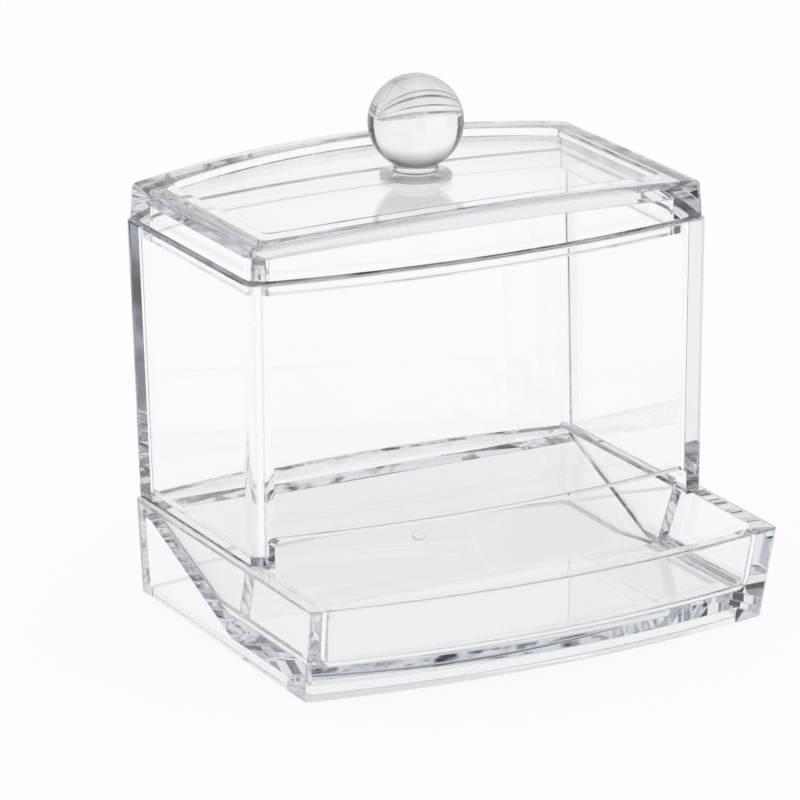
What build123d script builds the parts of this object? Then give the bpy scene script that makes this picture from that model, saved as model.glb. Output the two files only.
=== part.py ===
from build123d import *
import os
from math import cos, radians, tan

# A clear moulded dispenser box for cotton pads and swabs. A hopper open at the top stands on a
# wider base. Inside the base a ramp leads under the hopper's raised front wall and into a shallow
# tray that stands out in front. A loose lid with a ball knob closes the hopper.
# Millimetres, Z up, X across the front, the tray towards -Y.
# The origin is on the floor, in the middle of the whole outline.

os.makedirs("parts", exist_ok=True)

# Overall sizes
rim_width = 89.9          # widest place, the base's flared rim
side_length = 64.7        # base's side along the floor, corner to corner
overall_height = 91.9     # floor to the top of the ball

# Base
base_height = 17.0        # floor to the rim that carries the hopper
side_flare = 0.85         # each side leans out this far between floor and rim
front_flare = 3.5         # the front leans out this far
floor_bow = 4.3           # how far the front edge bulges at the floor
rim_bow = 4.9             # how far the front edge bulges at the rim
base_back_radius = 3.8    # upright corners at the back
base_front_radius = 0.9   # upright corners at the front
base_edge_round = 0.35     # outer edge of the rim
base_side_wall = 3.5
base_back_wall = 2.8
front_lip = 2.2           # front wall, level measure from outside to inside
tray_corner_radius = 2.6  # upright inner corners of the tray
tray_fillet = 2.4         # round between the tray's floor and its walls
tray_floor_top = 5.7      # height of the tray's floor
tray_floor_thickness = 3.9
foot_depth = 9.2          # solid foot under the front wall, front to back
ramp_shelf = 2.4          # level stretch at the ramp's top, in front of the hopper's back wall
ramp_angle = 20.8         # slope of the ramp, degrees
ramp_thickness = 2.8
ramp_bend_radius = 14.0   # where the ramp runs out into the tray floor
under_corner_radius = 1.5 # upright corners of the hollow underneath
gate_diameter = 2.2       # moulding pip under the ramp
gate_height = 0.4
gate_from_back = 21.5     # pip to the base's back corners, level

# Hopper
hopper_inset = 1.3        # step from the base's rim in to the hopper's side
hopper_depth = 45.3       # side of the hopper along the rim, corner to corner
hopper_height = 49.5
side_draft = 0.3          # each side wall leans out this far up to the top
front_draft = 0.25        # the front wall too
back_draft = 2.5          # the back wall leans out much more
hopper_wall = 2.8
front_bow = 4.3           # bulge of the hopper's front wall, and of the lid's front
back_bow = 4.6            # bulge of the back walls, and of the lid's back
hopper_corner_radius = 1.8
hopper_inner_radius = 2.4
hopper_edge_round = 0.3   # outer edge of the hopper's open top
slot_height = 4.8         # rim to the lower edge of the front wall
column_width = 3.6        # post left beside the slot at each front corner
slot_corner_radius = 1.2
flap_thickness = 2.0      # side flaps that reach down inside the base, beside the ramp
flap_rise = 1.3           # the flaps thicken the hopper's side walls this far above the rim
bond_gap = 0.05           # glue gap around the flaps

# Lid
lid_inset = 0.5           # step from the hopper's top in to the lid's side
lid_side_height = 6.35
lid_draft = 0.3           # each side of the lid leans in this far up to its top
lid_arch = 2.4            # rise of the lid's top from its sides to its middle
lid_frame = 5.4           # width of the raised frame
lid_edge_round = 1.0      # outer edge of the lid's top
frame_edge_round = 0.5    # inner edge of the raised frame
lid_recess = 1.4          # frame down to the panel
lid_panel = 2.4           # panel thickness
lid_corner_radius = 1.3
panel_corner_radius = 1.8
skirt_depth = 2.5         # below the hopper's top edge
skirt_thickness = 2.2
skirt_clearance = 0.35    # skirt to hopper wall, all round

# Knob
ball_diameter = 16.6
neck_diameter = 7.8
foot_diameter = 12.6
foot_height = 0.75
foot_round = 0.3

# Derived heights and places
hopper_top = base_height + hopper_height
lid_side_top = hopper_top + lid_side_height
panel_crest = lid_side_top + lid_arch - lid_recess
outline_depth = back_draft + back_bow + side_length + front_flare + rim_bow
back_y = outline_depth / 2 - back_draft - back_bow         # back corners of base and hopper
floor_front_y = back_y - side_length                       # front corners at the floor
hopper_front_y = back_y - hopper_depth                     # hopper's front corners at the rim
hopper_width = rim_width - 2 * hopper_inset
knob_y = back_y + (back_draft - front_draft - hopper_depth) / 2
slope = tan(radians(ramp_angle))
shelf_end_y = back_y - hopper_wall - ramp_shelf
ramp_foot_y = shelf_end_y - (base_height - tray_floor_top) / slope   # where slope and floor meet
under_top = base_height - ramp_thickness / cos(radians(ramp_angle))   # the ramp's underside
under_flat = tray_floor_top - tray_floor_thickness         # the tray floor's underside
under_slope = (under_top - under_flat) / (shelf_end_y - ramp_foot_y)
far = 2 * rim_width                                        # reaches past the whole part


# An outline with straight sides and bulging front and back, as a face at height z.
def barrel(width, back, front, bulge, z, back_radius, front_radius):
    half = width / 2
    face = make_face([
        ThreePointArc((-half, back), (0, back + back_bow), (half, back)),
        Line((half, back), (half, front)),
        ThreePointArc((half, front), (0, front - bulge), (-half, front)),
        Line((-half, front), (-half, back)),
    ]).face()
    if front_radius > 0:
        face = face.fillet_2d(front_radius, face.vertices().sort_by(Axis.Y)[:2])
    if back_radius > 0:
        face = face.fillet_2d(back_radius, face.vertices().sort_by(Axis.Y)[-2:])
    return Pos(0, 0, z) * face


# A block between two level outlines, with straight upright edges.
def between(low, high):
    return loft([low, high], ruled=True)


# A block across the whole width from a closed profile of Y-Z points.
def across(points):
    return extrude(Plane.YZ * make_face(Polyline(*points, close=True)), far, both=True)


# The base's outline at a height above the floor, inset by its walls.
def base_outline(height, side=0.0, back=0.0, front=0.0, back_radius=0.0, front_radius=0.0):
    part = height / base_height
    return barrel(
        rim_width - 2 * side_flare * (1 - part) - 2 * side,
        back_y - back,
        floor_front_y - front_flare * part + front,
        floor_bow + (rim_bow - floor_bow) * part,
        height, back_radius, front_radius,
    )


# The hopper's outline at a height above the rim, inset from its outside.
def hopper_outline(height, inset=0.0, radius=0.0):
    part = height / hopper_height
    return barrel(
        hopper_width + 2 * (side_draft * part - inset),
        back_y + back_draft * part - inset,
        hopper_front_y - front_draft * part + inset,
        front_bow, base_height + height, radius, radius,
    )


# The room inside the base, above the ramp and the tray floor. The gap shrinks it all round.
def base_room(gap, top):
    floor = tray_floor_top + gap
    inset = (base_side_wall + gap, base_back_wall + gap, front_lip + gap)
    tray = between(
        base_outline(floor, *inset, tray_corner_radius, tray_corner_radius),
        base_outline(top, *inset, tray_corner_radius, tray_corner_radius),
    )
    tray = fillet(tray.edges().group_by(Axis.Z)[0], tray_fillet)
    ramp_top = base_height + gap
    over = across([
        (far, ramp_top), (shelf_end_y, ramp_top), (ramp_foot_y, floor),
        (-far, floor), (-far, far), (far, far),
    ])
    bend = over.edges().filter_by(Axis.X).sort_by_distance((0, ramp_foot_y, floor))[0]
    return tray & fillet(bend, ramp_bend_radius)


# The hollow under the ramp and the tray floor, open to the floor.
def base_hollow():
    under = across([
        (far, -far), (far, under_top), (shelf_end_y, under_top), (ramp_foot_y, under_flat),
        (-far, under_flat), (-far, -far),
    ])
    inset = (base_side_wall, base_back_wall, foot_depth, under_corner_radius, 0)
    return between(base_outline(-1, *inset), base_outline(base_height, *inset)) & under


# The pip that moulding leaves in the middle of the ramp's underside.
def gate_pip():
    y = back_y - gate_from_back
    z = under_top - (shelf_end_y - y) * under_slope
    return Plane((0, y, z), z_dir=(0, under_slope, -1)) * Cylinder(gate_diameter / 2, 2 * gate_height)


def base_tray():
    corners = dict(back_radius=base_back_radius, front_radius=base_front_radius)
    body = between(base_outline(0, **corners), base_outline(base_height, **corners))
    rim = body.faces().sort_by(Axis.Z)[-1]
    body = body.fillet(base_edge_round, rim.outer_wire().edges())
    return body - base_room(0, base_height) - base_hollow() + gate_pip()


# A flap on each side of the ramp, cut off square to the slope in front.
def side_flaps():
    top = base_height + flap_rise
    front_y = hopper_front_y + hopper_wall
    block = across([
        (far, top), (front_y, top), (front_y, base_height),
        (front_y + (base_height - tray_floor_top) * slope, tray_floor_top), (far, tray_floor_top),
    ])
    inset = (base_side_wall + bond_gap + flap_thickness, -far, -far)
    core = between(base_outline(0, *inset), base_outline(top + 1, *inset))
    return (block & base_room(bond_gap, top)) - core


def hopper():
    body = between(hopper_outline(0, 0, hopper_corner_radius),
                   hopper_outline(hopper_height, 0, hopper_corner_radius))
    top = body.faces().sort_by(Axis.Z)[-1]
    body = body.fillet(hopper_edge_round, top.outer_wire().edges())
    inside = between(hopper_outline(-1, hopper_wall, hopper_inner_radius),
                     hopper_outline(hopper_height + 1, hopper_wall, hopper_inner_radius))
    slot = Pos(0, hopper_front_y, base_height) * Box(
        hopper_width - 2 * column_width, 4 * front_bow, 2 * slot_height)
    upper_corners = slot.edges().filter_by(Axis.Y).group_by(Axis.Z)[-1]
    return body - inside - fillet(upper_corners, slot_corner_radius) + side_flaps()


# The lid's top surface, arched across the width: a block from there down past the floor.
def under_arch(side_height):
    half = hopper_width / 2
    profile = make_face([
        ThreePointArc((-half, side_height), (0, side_height + lid_arch), (half, side_height)),
        Line((half, side_height), (half, -far)),
        Line((half, -far), (-half, -far)),
        Line((-half, -far), (-half, side_height)),
    ])
    return extrude(Plane.XZ * profile, far, both=True)


# A straight block that follows the hopper's top outline, inset from it.
def over_hopper(inset, low, high, radius):
    outline = hopper_outline(hopper_height, inset, radius)
    return extrude(Pos(0, 0, low - hopper_top) * outline, high - low, dir=(0, 0, 1))


# The lid's outside, which narrows upwards.
def lid_outside(top):
    low = hopper_outline(hopper_height, lid_inset, lid_corner_radius)
    lean = lid_draft * (top - hopper_top) / lid_side_height
    high = hopper_outline(hopper_height, lid_inset + lean, lid_corner_radius)
    return between(low, Pos(0, 0, top - hopper_top) * high)


def lid():
    skirt_inset = hopper_wall + skirt_clearance
    skirt_low = hopper_top - skirt_depth
    frame_inset = lid_inset + lid_draft + lid_frame
    top = lid_side_top + lid_arch + 1
    body = lid_outside(top) & under_arch(lid_side_top)
    plug = over_hopper(skirt_inset, skirt_low, hopper_top, hopper_inner_radius)
    room = over_hopper(skirt_inset + skirt_thickness, skirt_low, top, panel_corner_radius)
    recess = over_hopper(frame_inset, hopper_top, top, panel_corner_radius)
    panel_top = lid_side_top - lid_recess
    body = body + plug
    body = body - (room & under_arch(panel_top - lid_panel))
    body = body - (recess - under_arch(panel_top))
    arch = body.faces().filter_by(GeomType.CYLINDER).sort_by(Axis.Z)[-1]
    body = body.fillet(frame_edge_round, arch.inner_wires()[0].edges())
    arch = body.faces().filter_by(GeomType.CYLINDER).sort_by(Axis.Z)[-1]
    return body.fillet(lid_edge_round, arch.outer_wire().edges())


# A ball on a neck with a thin round foot, seated on the lid's panel.
def knob():
    ball_centre = overall_height - ball_diameter / 2
    ball = Pos(0, knob_y, ball_centre) * Sphere(ball_diameter / 2)
    neck = Pos(0, knob_y, panel_crest) * extrude(Circle(neck_diameter / 2), ball_centre - panel_crest)
    foot = extrude(Circle(foot_diameter / 2), 2 * foot_height)
    foot = fillet(foot.edges().group_by(Axis.Z)[-1], foot_round)
    solid = ball + neck + Pos(0, knob_y, panel_crest - foot_height) * foot
    return solid - under_arch(lid_side_top - lid_recess)


export_step(base_tray(), "parts/base_tray.step")
export_step(hopper(), "parts/hopper.step")
export_step(lid(), "parts/lid.step")
export_step(knob(), "parts/knob.step")
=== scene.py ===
import math

import bmesh
import bpy
from mathutils import Matrix, Vector


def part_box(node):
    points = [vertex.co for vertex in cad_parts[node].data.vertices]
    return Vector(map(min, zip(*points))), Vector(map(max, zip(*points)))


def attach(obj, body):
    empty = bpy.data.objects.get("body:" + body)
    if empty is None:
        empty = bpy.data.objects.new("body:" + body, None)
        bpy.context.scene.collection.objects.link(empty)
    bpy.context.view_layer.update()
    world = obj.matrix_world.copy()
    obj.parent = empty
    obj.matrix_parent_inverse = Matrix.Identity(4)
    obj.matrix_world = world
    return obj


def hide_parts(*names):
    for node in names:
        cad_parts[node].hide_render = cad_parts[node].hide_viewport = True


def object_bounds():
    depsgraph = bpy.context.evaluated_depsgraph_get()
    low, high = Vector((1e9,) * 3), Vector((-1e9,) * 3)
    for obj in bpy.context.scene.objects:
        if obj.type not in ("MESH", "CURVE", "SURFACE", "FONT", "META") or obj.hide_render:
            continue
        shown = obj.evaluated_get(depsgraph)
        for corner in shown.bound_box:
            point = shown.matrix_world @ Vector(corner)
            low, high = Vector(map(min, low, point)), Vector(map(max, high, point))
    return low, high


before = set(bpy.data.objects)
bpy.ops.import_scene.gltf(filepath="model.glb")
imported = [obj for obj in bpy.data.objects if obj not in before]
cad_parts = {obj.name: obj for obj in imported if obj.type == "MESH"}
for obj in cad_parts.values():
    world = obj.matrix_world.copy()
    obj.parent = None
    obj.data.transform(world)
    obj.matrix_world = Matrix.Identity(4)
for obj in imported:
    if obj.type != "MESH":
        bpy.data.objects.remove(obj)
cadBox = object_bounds()          # lowest and highest corners, in metres
scene = bpy.context.scene
white = (1, 1, 1, 1)
black = (0, 0, 0, 1)


def linkNew(name, data):
    item = bpy.data.objects.new(name, data)
    scene.collection.objects.link(item)
    return item


def addSocket(tree, name, kind, inOrOut="INPUT", value=None):
    socket = tree.interface.new_socket(name=name, in_out=inOrOut, socket_type=kind)
    if value is not None:
        socket.default_value = value
    return socket


def place(nodes, kind, **settings):
    node = nodes.new(kind)
    for key, value in settings.items():
        setattr(node, key, value)
    return node


def mathOf(nodes, links, operation, *values):
    # one Math node: each value is a socket or a plain number
    node = place(nodes, "ShaderNodeMath", operation=operation)
    for slot, value in zip(node.inputs, values):
        if isinstance(value, (int, float)):
            slot.default_value = value
        else:
            links.new(value, slot)
    return node.outputs[0]


def mixColors(nodes, links, factor, first, second, blend="MIX"):
    # one Mix node: the factor is a socket, each colour is a socket or a plain colour
    node = place(nodes, "ShaderNodeMix", data_type="RGBA", blend_type=blend)
    links.new(factor, node.inputs["Factor"])
    for key, value in (("A", first), ("B", second)):
        if isinstance(value, tuple):
            node.inputs[key].default_value = value
        else:
            links.new(value, node.inputs[key])
    return node.outputs["Result"]


def rangeOf(nodes, links, value, start, end):
    # one Map Range node: start and end become 0 and 1
    node = nodes.new("ShaderNodeMapRange")
    for key, limit in (("From Min", start), ("From Max", end)):
        if isinstance(limit, (int, float)):
            node.inputs[key].default_value = limit
        else:
            links.new(limit, node.inputs[key])
    links.new(value, node.inputs["Value"])
    return node.outputs["Result"]


def noiseOf(nodes, links, where, size, detail):
    node = place(nodes, "ShaderNodeTexNoise", noise_dimensions="3D")
    node.inputs["Detail"].default_value = detail
    links.new(where.outputs["Object"], node.inputs["Vector"])
    links.new(size, node.inputs["Scale"])
    return node


# The mould leaves faint waves in a polished wall, and handling leaves faint smears. Both vary over
# the surface, so they are one group that every clear piece shares.
# The same group also makes the painted light that the plastic glows with where its rays stay
# trapped.

surfaceRange = {
    "smear": (0.5, 0.75),        # noise between these goes from clean to smeared
    "smearGrain": 0.65,
    # painted glow: the leaked light is painted paler between these two places on Y
    "glow": (-0.012, 0.033),     # metres on Y, where a wall starts to glow and where it is full
}

# The painted leaked streaks get painted faint blue and warm borders, like the way thick corners
# split white light.
paintedFringeEnds = (0.28, 0.74)
paintedFringeColors = (
    (0.42, (0.50, 0.72, 1.0, 1)),
    (0.51, white),
    (0.62, (1.0, 0.76, 0.52, 1)),
)


def mouldedSurfaceAndPaintedLeak():
    group = bpy.data.node_groups.new("mouldedSurfaceAndPaintedLeak", "ShaderNodeTree")
    for name, value in (("Wave Size", 60.0), ("Smear Size", 140.0), ("Smear Roughness", 0.02)):
        addSocket(group, name, "NodeSocketFloat", value=value)
    addSocket(group, "Tint", "NodeSocketColor", value=white)
    addSocket(group, "Tint Deep", "NodeSocketColor", value=(0.985, 0.988, 0.992, 1))
    # settings of the painted leaked light: its streaks, its painted colour fringes, its painted
    # glow towards the back, and its dark and pale colours
    for name, value in (("Streak Size", 250.0), ("Streak From", 0.38), ("Streak To", 0.60),
                        ("Fringe", 0.6), ("Back Glow", 0.0)):
        addSocket(group, name, "NodeSocketFloat", value=value)
    addSocket(group, "Leak Dark", "NodeSocketColor", value=(0.10, 0.115, 0.15, 1))
    addSocket(group, "Leak Pale", "NodeSocketColor", value=(0.72, 0.74, 0.78, 1))
    addSocket(group, "Color", "NodeSocketColor", "OUTPUT")
    addSocket(group, "Roughness", "NodeSocketFloat", "OUTPUT")
    addSocket(group, "Height", "NodeSocketFloat", "OUTPUT")
    addSocket(group, "Leak", "NodeSocketColor", "OUTPUT")
    nodes, links = group.nodes, group.links
    given = nodes.new("NodeGroupInput").outputs
    put = nodes.new("NodeGroupOutput").inputs
    where = nodes.new("ShaderNodeTexCoord")

    wave = noiseOf(nodes, links, where, given["Wave Size"], 1.0)
    tint = mixColors(nodes, links, wave.outputs["Fac"], given["Tint"], given["Tint Deep"])
    links.new(wave.outputs["Fac"], put["Height"])
    links.new(tint, put["Color"])

    smear = noiseOf(nodes, links, where, given["Smear Size"], 5.0)
    smear.inputs["Roughness"].default_value = surfaceRange["smearGrain"]
    band = rangeOf(nodes, links, smear.outputs["Fac"], *surfaceRange["smear"])
    links.new(given["Smear Roughness"], band.node.inputs["To Max"])
    links.new(band, put["Roughness"])

    # painted light: light that a moulding traps is painted as leaking out in streaks, and walls
    # nearer the back get a paler painted glow, because the studio's light comes from behind them
    streak = noiseOf(nodes, links, where, given["Streak Size"], 3.0)
    spread = rangeOf(nodes, links, streak.outputs["Fac"], given["Streak From"], given["Streak To"])
    axes = nodes.new("ShaderNodeSeparateXYZ")
    links.new(where.outputs["Object"], axes.inputs[0])
    glow = rangeOf(nodes, links, axes.outputs["Y"], *surfaceRange["glow"])
    pale = place(nodes, "ShaderNodeMix", data_type="FLOAT")
    links.new(given["Back Glow"], pale.inputs["Factor"])
    links.new(spread, pale.inputs["A"])
    links.new(glow, pale.inputs["B"])
    leak = mixColors(nodes, links, pale.outputs["Result"], given["Leak Dark"], given["Leak Pale"])
    fringe = nodes.new("ShaderNodeValToRGB")
    stops = fringe.color_ramp.elements
    for stop, position in zip(stops, paintedFringeEnds):
        stop.position, stop.color = position, white
    for position, color in paintedFringeColors:
        stops.new(position).color = color
    links.new(spread, fringe.inputs["Fac"])
    fringed = mixColors(nodes, links, given["Fringe"], leak, fringe.outputs["Color"], "MULTIPLY")
    links.new(fringed, put["Leak"])
    return group


surfaceGroup = mouldedSurfaceAndPaintedLeak()

lastBounce = 13                  # surfaces that light may cross

clearPlastic = {
    "ior": 1.57,
    "waveDistance": 0.00002,     # metres between a wave's crest and hollow
    "waveStrength": 0.25,
    "edgeRound": 0.0003,         # metres, softens the small edges that carry no fillet
    "edgeSamples": 4,
    "bodyTint": (0.78, 0.80, 0.83, 1),     # what thick plastic turns white light into
    # painted shade: the dark colour that faces turned away from the view are painted with
    "paintedRimShade": (0.10, 0.105, 0.12, 1),     # what a face turned away darkens towards
}


def clearMaterial(name, finish, rimShadeFrom=0.70, density=14.0):
    # finish: the surface group's settings, the painted leaked light among them.
    # the rim argument: how far a face turns away before its painted shade starts. density:
    # absorption per metre.
    material = bpy.data.materials.new(name)
    material.use_nodes = True
    nodes, links = material.node_tree.nodes, material.node_tree.links
    shader = nodes["Principled BSDF"].inputs
    shader["IOR"].default_value = clearPlastic["ior"]
    shader["Transmission Weight"].default_value = 1.0
    shader["Metallic"].default_value = 0.0
    surface = place(nodes, "ShaderNodeGroup", node_tree=surfaceGroup)
    for key, value in finish.items():
        surface.inputs[key].default_value = value

    edge = place(nodes, "ShaderNodeBevel", samples=clearPlastic["edgeSamples"])
    edge.inputs["Radius"].default_value = clearPlastic["edgeRound"]
    bump = nodes.new("ShaderNodeBump")
    bump.inputs["Strength"].default_value = clearPlastic["waveStrength"]
    bump.inputs["Distance"].default_value = clearPlastic["waveDistance"]
    links.new(edge.outputs["Normal"], bump.inputs["Normal"])
    links.new(surface.outputs["Height"], bump.inputs["Height"])
    links.new(bump.outputs["Normal"], shader["Normal"])

    # painted shade: faces turned away from the view are painted darker, for the dark rims that
    # light gives thick clear plastic
    facing = nodes.new("ShaderNodeLayerWeight")
    rim = rangeOf(nodes, links, facing.outputs["Facing"], rimShadeFrom, 1.0)
    color = mixColors(nodes, links, rim, surface.outputs["Color"], clearPlastic["paintedRimShade"])
    links.new(color, shader["Base Color"])
    links.new(surface.outputs["Roughness"], shader["Roughness"])

    # light still inside after the last bounce would render black, so it ends as painted light: the
    # surface glows there with the group's painted leak colour
    path = nodes.new("ShaderNodeLightPath")
    trapped = mathOf(nodes, links, "GREATER_THAN", path.outputs["Ray Depth"], lastBounce + 0.5)
    leak = mixColors(nodes, links, trapped, black, surface.outputs["Leak"])
    links.new(leak, shader["Emission Color"])
    shader["Emission Strength"].default_value = 1.0
    material.cycles.emission_sampling = "NONE"      # the leak is seen, but it isn't a lamp

    body = nodes.new("ShaderNodeVolumeAbsorption")
    body.inputs["Color"].default_value = clearPlastic["bodyTint"]
    body.inputs["Density"].default_value = density
    links.new(body.outputs[0], nodes["Material Output"].inputs["Volume"])
    return material


# each clear piece's material, with its moulded surface, its painted rim shade and its painted
# leaked light
finishesWithPaintedLight = {
    "base_tray": clearMaterial("clearBase", {
        "Wave Size": 60, "Streak Size": 260, "Streak From": 0.32, "Streak To": 0.50, "Fringe": 0.8,
        "Leak Dark": (0.01, 0.015, 0.025, 1), "Leak Pale": (0.86, 0.88, 0.90, 1)}),
    "hopper": clearMaterial("clearHopper", {
        "Wave Size": 45, "Streak Size": 90, "Fringe": 0.7,
        "Leak Dark": (0.01, 0.012, 0.02, 1), "Leak Pale": (0.36, 0.39, 0.45, 1)}),
    "lid": clearMaterial("clearLid", {
        "Wave Size": 50, "Streak Size": 130, "Streak From": 0.34, "Streak To": 0.50, "Fringe": 0.5,
        "Back Glow": 0.25,
        "Leak Dark": (0.015, 0.02, 0.03, 1), "Leak Pale": (0.90, 0.91, 0.93, 1)}),
}
for nodeName, material in finishesWithPaintedLight.items():
    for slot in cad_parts[nodeName].material_slots:
        slot.material = material
print("clear plastic on", ", ".join(finishesWithPaintedLight))


# The knob is one turned form, so a Geometry Nodes tree sweeps its outline round its axis.

knobSizes = {
    "ballDiameter": 0.0166,
    "neckDiameter": 0.0078,
    "footDiameter": 0.0126,
    "footHeight": 0.00075,
    "footRound": 0.0003,
    "neckRound": 0.0006,         # soft inner corner where the neck meets the foot
    "footSag": 0.00007,          # the panel arches this much across the foot, with its glue
    "axisGap": 0.00002,          # points nearer than this become one, which closes the poles
    "sweepRadius": 0.001,        # circle that the outline is swept along
    "turns": 96,
    "ballSteps": 64,
    "roundSteps": 8,
}


def arcPoints(middle, radius, start, end, steps):
    # points on an arc, as radius and height, with its angles measured from straight up
    angles = (start + (end - start) * step / steps for step in range(steps + 1))
    return [(middle[0] + radius * math.sin(angle), middle[1] + radius * math.cos(angle))
            for angle in angles]


def knobOutline():
    # outline from the ball's top pole down to the foot's middle, as radius and height
    low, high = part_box("knob")
    bottom = low[2] + knobSizes["footSag"]
    footTop = bottom + knobSizes["footHeight"]
    ballRadius = knobSizes["ballDiameter"] / 2
    neckRadius = knobSizes["neckDiameter"] / 2
    footRadius = knobSizes["footDiameter"] / 2
    soft, edge = knobSizes["neckRound"], knobSizes["footRound"]
    neckAngle = math.pi - math.asin(neckRadius / ballRadius)
    quarter = math.pi / 2
    steps = knobSizes["roundSteps"]
    ball = arcPoints((0.0, high[2] - ballRadius), ballRadius, 0.0, neckAngle,
                     knobSizes["ballSteps"])
    neck = arcPoints((neckRadius + soft, footTop + soft), soft, -quarter, -2 * quarter, steps)
    foot = arcPoints((footRadius - edge, footTop - edge), edge, 0.0, quarter, steps)
    return ball + neck + foot + [(footRadius, bottom), (0.0, bottom)]


def turnedTree():
    # sweeps the outline it is given round the Z axis and joins the ends
    tree = bpy.data.node_groups.new("turnedForm", "GeometryNodeTree")
    addSocket(tree, "Geometry", "NodeSocketGeometry")
    addSocket(tree, "Turns", "NodeSocketInt", value=96)
    addSocket(tree, "Axis Radius", "NodeSocketFloat", value=0.001)
    addSocket(tree, "Merge Distance", "NodeSocketFloat", value=0.00001)
    addSocket(tree, "Material", "NodeSocketMaterial")
    addSocket(tree, "Geometry", "NodeSocketGeometry", "OUTPUT")
    nodes, links = tree.nodes, tree.links
    given = nodes.new("NodeGroupInput")
    put = nodes.new("NodeGroupOutput")
    path = nodes.new("GeometryNodeCurvePrimitiveCircle")
    chain = nodes.new("GeometryNodeMeshToCurve")
    sweep = nodes.new("GeometryNodeCurveToMesh")
    merge = nodes.new("GeometryNodeMergeByDistance")
    smooth = nodes.new("GeometryNodeSetShadeSmooth")
    realize = nodes.new("GeometryNodeRealizeInstances")
    finish = nodes.new("GeometryNodeSetMaterial")
    links.new(given.outputs["Turns"], path.inputs["Resolution"])
    links.new(given.outputs["Axis Radius"], path.inputs["Radius"])
    links.new(path.outputs["Curve"], sweep.inputs["Curve"])
    links.new(given.outputs["Geometry"], chain.inputs["Mesh"])
    links.new(chain.outputs["Curve"], sweep.inputs["Profile Curve"])
    links.new(sweep.outputs["Mesh"], merge.inputs["Geometry"])
    links.new(given.outputs["Merge Distance"], merge.inputs["Distance"])
    links.new(merge.outputs["Geometry"], smooth.inputs["Geometry"])
    links.new(smooth.outputs["Geometry"], realize.inputs["Geometry"])
    links.new(realize.outputs["Geometry"], finish.inputs["Geometry"])
    links.new(given.outputs["Material"], finish.inputs["Material"])
    links.new(finish.outputs["Geometry"], put.inputs["Geometry"])
    return tree


def setInputs(modifier, values):
    for item in modifier.node_group.interface.items_tree:
        if item.item_type == "SOCKET" and item.in_out == "INPUT" and item.name in values:
            modifier[item.identifier] = values[item.name]


def makeKnob(finish):
    low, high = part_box("knob")
    axis = Vector(((low[0] + high[0]) / 2, (low[1] + high[1]) / 2, 0))
    sweepRadius = knobSizes["sweepRadius"]
    # swept curves take the outline's second axis as downwards
    points = [(radius - sweepRadius, -height, 0) for radius, height in knobOutline()]
    outline = bpy.data.meshes.new("knobOutline")
    outline.from_pydata(points, [(step, step + 1) for step in range(len(points) - 1)], [])
    holder = linkNew("knobOutline", outline)
    turned = holder.modifiers.new("turned", "NODES")
    turned.node_group = turnedTree()
    setInputs(turned, {"Turns": knobSizes["turns"], "Axis Radius": sweepRadius,
                       "Merge Distance": knobSizes["axisGap"], "Material": finish})
    depsgraph = bpy.context.evaluated_depsgraph_get()
    mesh = bpy.data.meshes.new_from_object(holder.evaluated_get(depsgraph), depsgraph=depsgraph)
    holder.modifiers.remove(turned)
    bpy.data.objects.remove(holder)
    mesh.transform(Matrix.Translation(axis))
    shape = bmesh.new()
    shape.from_mesh(mesh)
    bmesh.ops.remove_doubles(shape, verts=shape.verts, dist=knobSizes["axisGap"])
    bmesh.ops.recalc_face_normals(shape, faces=shape.faces)
    shape.to_mesh(mesh)
    shape.free()
    return linkNew("turnedKnob", mesh)


# the knob's material, with its painted rim shade and pale painted leaked light
knobFinishWithPaintedLight = clearMaterial("clearKnob", {
    "Wave Size": 40, "Smear Roughness": 0.01, "Streak Size": 200, "Fringe": 0.3,
    "Leak Dark": (0.60, 0.61, 0.63, 1), "Leak Pale": (0.93, 0.93, 0.94, 1)},
    rimShadeFrom=0.42, density=22.0)
turnedKnob = makeKnob(knobFinishWithPaintedLight)
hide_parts("knob")
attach(turnedKnob, "lifting_lid")
print("knob turned:", len(turnedKnob.data.polygons), "faces")


# Studio: white walls, a ceiling that darkens upwards round a soft lamp panel, and a few dark
# boards that stand far off on the floor. The plastic's rounds bend their dark into view.

studio = {
    "wallTop": 0.24,             # sine of the height where the white walls start to darken
    "ceilingFull": 0.74,         # and where they have the ceiling's dark
    "ceiling": (0.10, 0.105, 0.12, 1),
    "lampPanelEdge": 0.90,       # sine of the height where the lamp panel starts
    "lampPanelFull": 0.94,
    "boards": ((105, 23), (-49, 23), (197, 9)),    # middle and half width, degrees from +Y
    "boardFade": 3.0,
    "boardReach": (0.36, 0.40),  # metres from the part, where the floor darkens to the board
    "board": (0.03, 0.033, 0.04, 1),
    "floorSize": 6.0,
    "floorGap": 0.0001,          # metres below the part
    "floorColor": (0.92, 0.92, 0.92, 1),
    "floorRoughness": 0.9,
    "floorShadowShare": 0.1,     # how much of the floor's own shading the picture keeps
}


def boardGroup():
    # mask of the directions, seen from the part, that a dark board covers
    group = bpy.data.node_groups.new("studioBoards", "ShaderNodeTree")
    addSocket(group, "Direction", "NodeSocketVector")
    addSocket(group, "Mask", "NodeSocketFloat", "OUTPUT")
    nodes, links = group.nodes, group.links
    given = nodes.new("NodeGroupInput")
    put = nodes.new("NodeGroupOutput")
    axes = nodes.new("ShaderNodeSeparateXYZ")
    links.new(given.outputs["Direction"], axes.inputs[0])
    angle = mathOf(nodes, links, "ARCTAN2", axes.outputs["X"], axes.outputs["Y"])
    degrees = mathOf(nodes, links, "MULTIPLY", angle, 180 / math.pi)
    mask = None
    for middle, halfWidth in studio["boards"]:
        turned = mathOf(nodes, links, "SUBTRACT", degrees, middle)
        wrapped = mathOf(nodes, links, "WRAP", turned, 180.0, -180.0)
        away = mathOf(nodes, links, "ABSOLUTE", wrapped)
        board = rangeOf(nodes, links, away, halfWidth + studio["boardFade"], halfWidth)
        mask = mathOf(nodes, links, "MAXIMUM", mask, board) if mask else board
    links.new(mask, put.inputs["Mask"])
    return group


boards = boardGroup()


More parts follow.
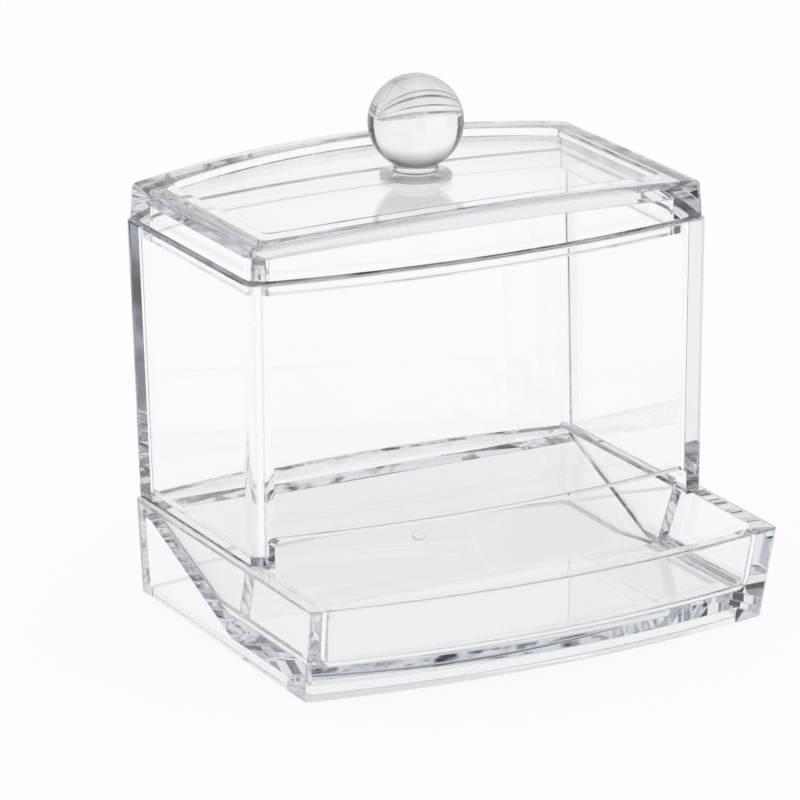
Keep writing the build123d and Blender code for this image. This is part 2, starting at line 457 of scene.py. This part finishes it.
def studioWorld():
    world = bpy.data.worlds.new("studio")
    world.use_nodes = True
    scene.world = world
    nodes, links = world.node_tree.nodes, world.node_tree.links
    nodes.clear()
    where = nodes.new("ShaderNodeTexCoord")
    axes = nodes.new("ShaderNodeSeparateXYZ")
    standing = place(nodes, "ShaderNodeGroup", node_tree=boards)
    links.new(where.outputs["Generated"], axes.inputs[0])
    links.new(where.outputs["Generated"], standing.inputs["Direction"])
    height = axes.outputs["Z"]
    ceiling = rangeOf(nodes, links, height, studio["wallTop"], studio["ceilingFull"])
    panel = rangeOf(nodes, links, height, studio["lampPanelEdge"], studio["lampPanelFull"])
    walls = mixColors(nodes, links, standing.outputs["Mask"], white, studio["board"])
    room = mixColors(nodes, links, ceiling, walls, studio["ceiling"])
    room = mixColors(nodes, links, panel, room, white)

    # the camera and soft bounced light get plain white, and the plastic gets the room
    rays = nodes.new("ShaderNodeLightPath").outputs
    plain = mathOf(nodes, links, "MAXIMUM", rays["Is Camera Ray"], rays["Is Diffuse Ray"])
    seen = mixColors(nodes, links, plain, room, white)
    background = nodes.new("ShaderNodeBackground")
    put = nodes.new("ShaderNodeOutputWorld")
    links.new(seen, background.inputs["Color"])
    links.new(background.outputs[0], put.inputs["Surface"])


def studioFloor():
    half = studio["floorSize"] / 2
    mesh = bpy.data.meshes.new("floor")
    mesh.from_pydata([(-half, -half, 0), (half, -half, 0), (half, half, 0), (-half, half, 0)],
                     [], [(0, 1, 2, 3)])
    mesh.transform(Matrix.Translation((0, 0, cadBox[0][2] - studio["floorGap"])))
    floor = linkNew("floor", mesh)
    material = bpy.data.materials.new("paleFloor")
    material.use_nodes = True
    nodes, links = material.node_tree.nodes, material.node_tree.links
    paint = nodes["Principled BSDF"]
    paint.inputs["Base Color"].default_value = studio["floorColor"]
    paint.inputs["Roughness"].default_value = studio["floorRoughness"]
    paint.inputs["Specular IOR Level"].default_value = 0.0
    rays = nodes.new("ShaderNodeLightPath").outputs
    bent = mathOf(nodes, links, "MAXIMUM", rays["Is Glossy Ray"], rays["Is Transmission Ray"])
    seen = mathOf(nodes, links, "MAXIMUM", rays["Is Camera Ray"], bent)
    share = mathOf(nodes, links, "MULTIPLY", seen, 1 - studio["floorShadowShare"])

    # the boards' far ends of the floor are dark too, but only to light that the plastic bends
    where = nodes.new("ShaderNodeTexCoord")
    reach = place(nodes, "ShaderNodeVectorMath", operation="LENGTH")
    standing = place(nodes, "ShaderNodeGroup", node_tree=boards)
    links.new(where.outputs["Object"], reach.inputs[0])
    links.new(where.outputs["Object"], standing.inputs["Direction"])
    far = rangeOf(nodes, links, reach.outputs["Value"], *studio["boardReach"])
    dark = mathOf(nodes, links, "MULTIPLY", far, standing.outputs["Mask"])
    dark = mathOf(nodes, links, "MULTIPLY", dark, bent)
    glow = nodes.new("ShaderNodeEmission")
    mix = nodes.new("ShaderNodeMixShader")
    links.new(mixColors(nodes, links, dark, white, studio["board"]), glow.inputs["Color"])
    links.new(share, mix.inputs[0])
    links.new(paint.outputs[0], mix.inputs[1])
    links.new(glow.outputs[0], mix.inputs[2])
    links.new(mix.outputs[0], nodes["Material Output"].inputs["Surface"])
    mesh.materials.append(material)


studioWorld()
studioFloor()
scene.view_settings.view_transform = "Standard"
scene.cycles.max_bounces = lastBounce
scene.cycles.transmission_bounces = lastBounce
scene.cycles.glossy_bounces = lastBounce
print("studio ready")


camera = {
    "eye": (-0.416235, -0.764065, 0.315352),
    "azimuth": 28.034,           # degrees from +Y towards +X
    "elevation": 17.749,         # degrees downwards
    "roll": -0.26,
    "lens": 239.567,             # millimetres, as is the sensor
    "sensor": 36,
    "nearest": 0.01,             # metres
}


def addCamera():
    data = bpy.data.cameras.new("camera")
    data.lens = camera["lens"]
    data.sensor_width = camera["sensor"]
    data.clip_start = camera["nearest"]
    azimuth, elevation, roll = (math.radians(camera[key])
                                for key in ("azimuth", "elevation", "roll"))
    forward = Vector((math.sin(azimuth) * math.cos(elevation),
                      math.cos(azimuth) * math.cos(elevation), -math.sin(elevation)))
    right = Vector((math.cos(azimuth), -math.sin(azimuth), 0))
    up = right.cross(forward)
    rolledRight = right * math.cos(roll) + up * math.sin(roll)
    rolledUp = up * math.cos(roll) - right * math.sin(roll)
    turn = Matrix((rolledRight, rolledUp, -forward)).transposed()
    eye = linkNew("camera", data)
    eye.matrix_world = Matrix.Translation(camera["eye"]) @ turn.to_4x4()
    scene.camera = eye


addCamera()
print("camera set")
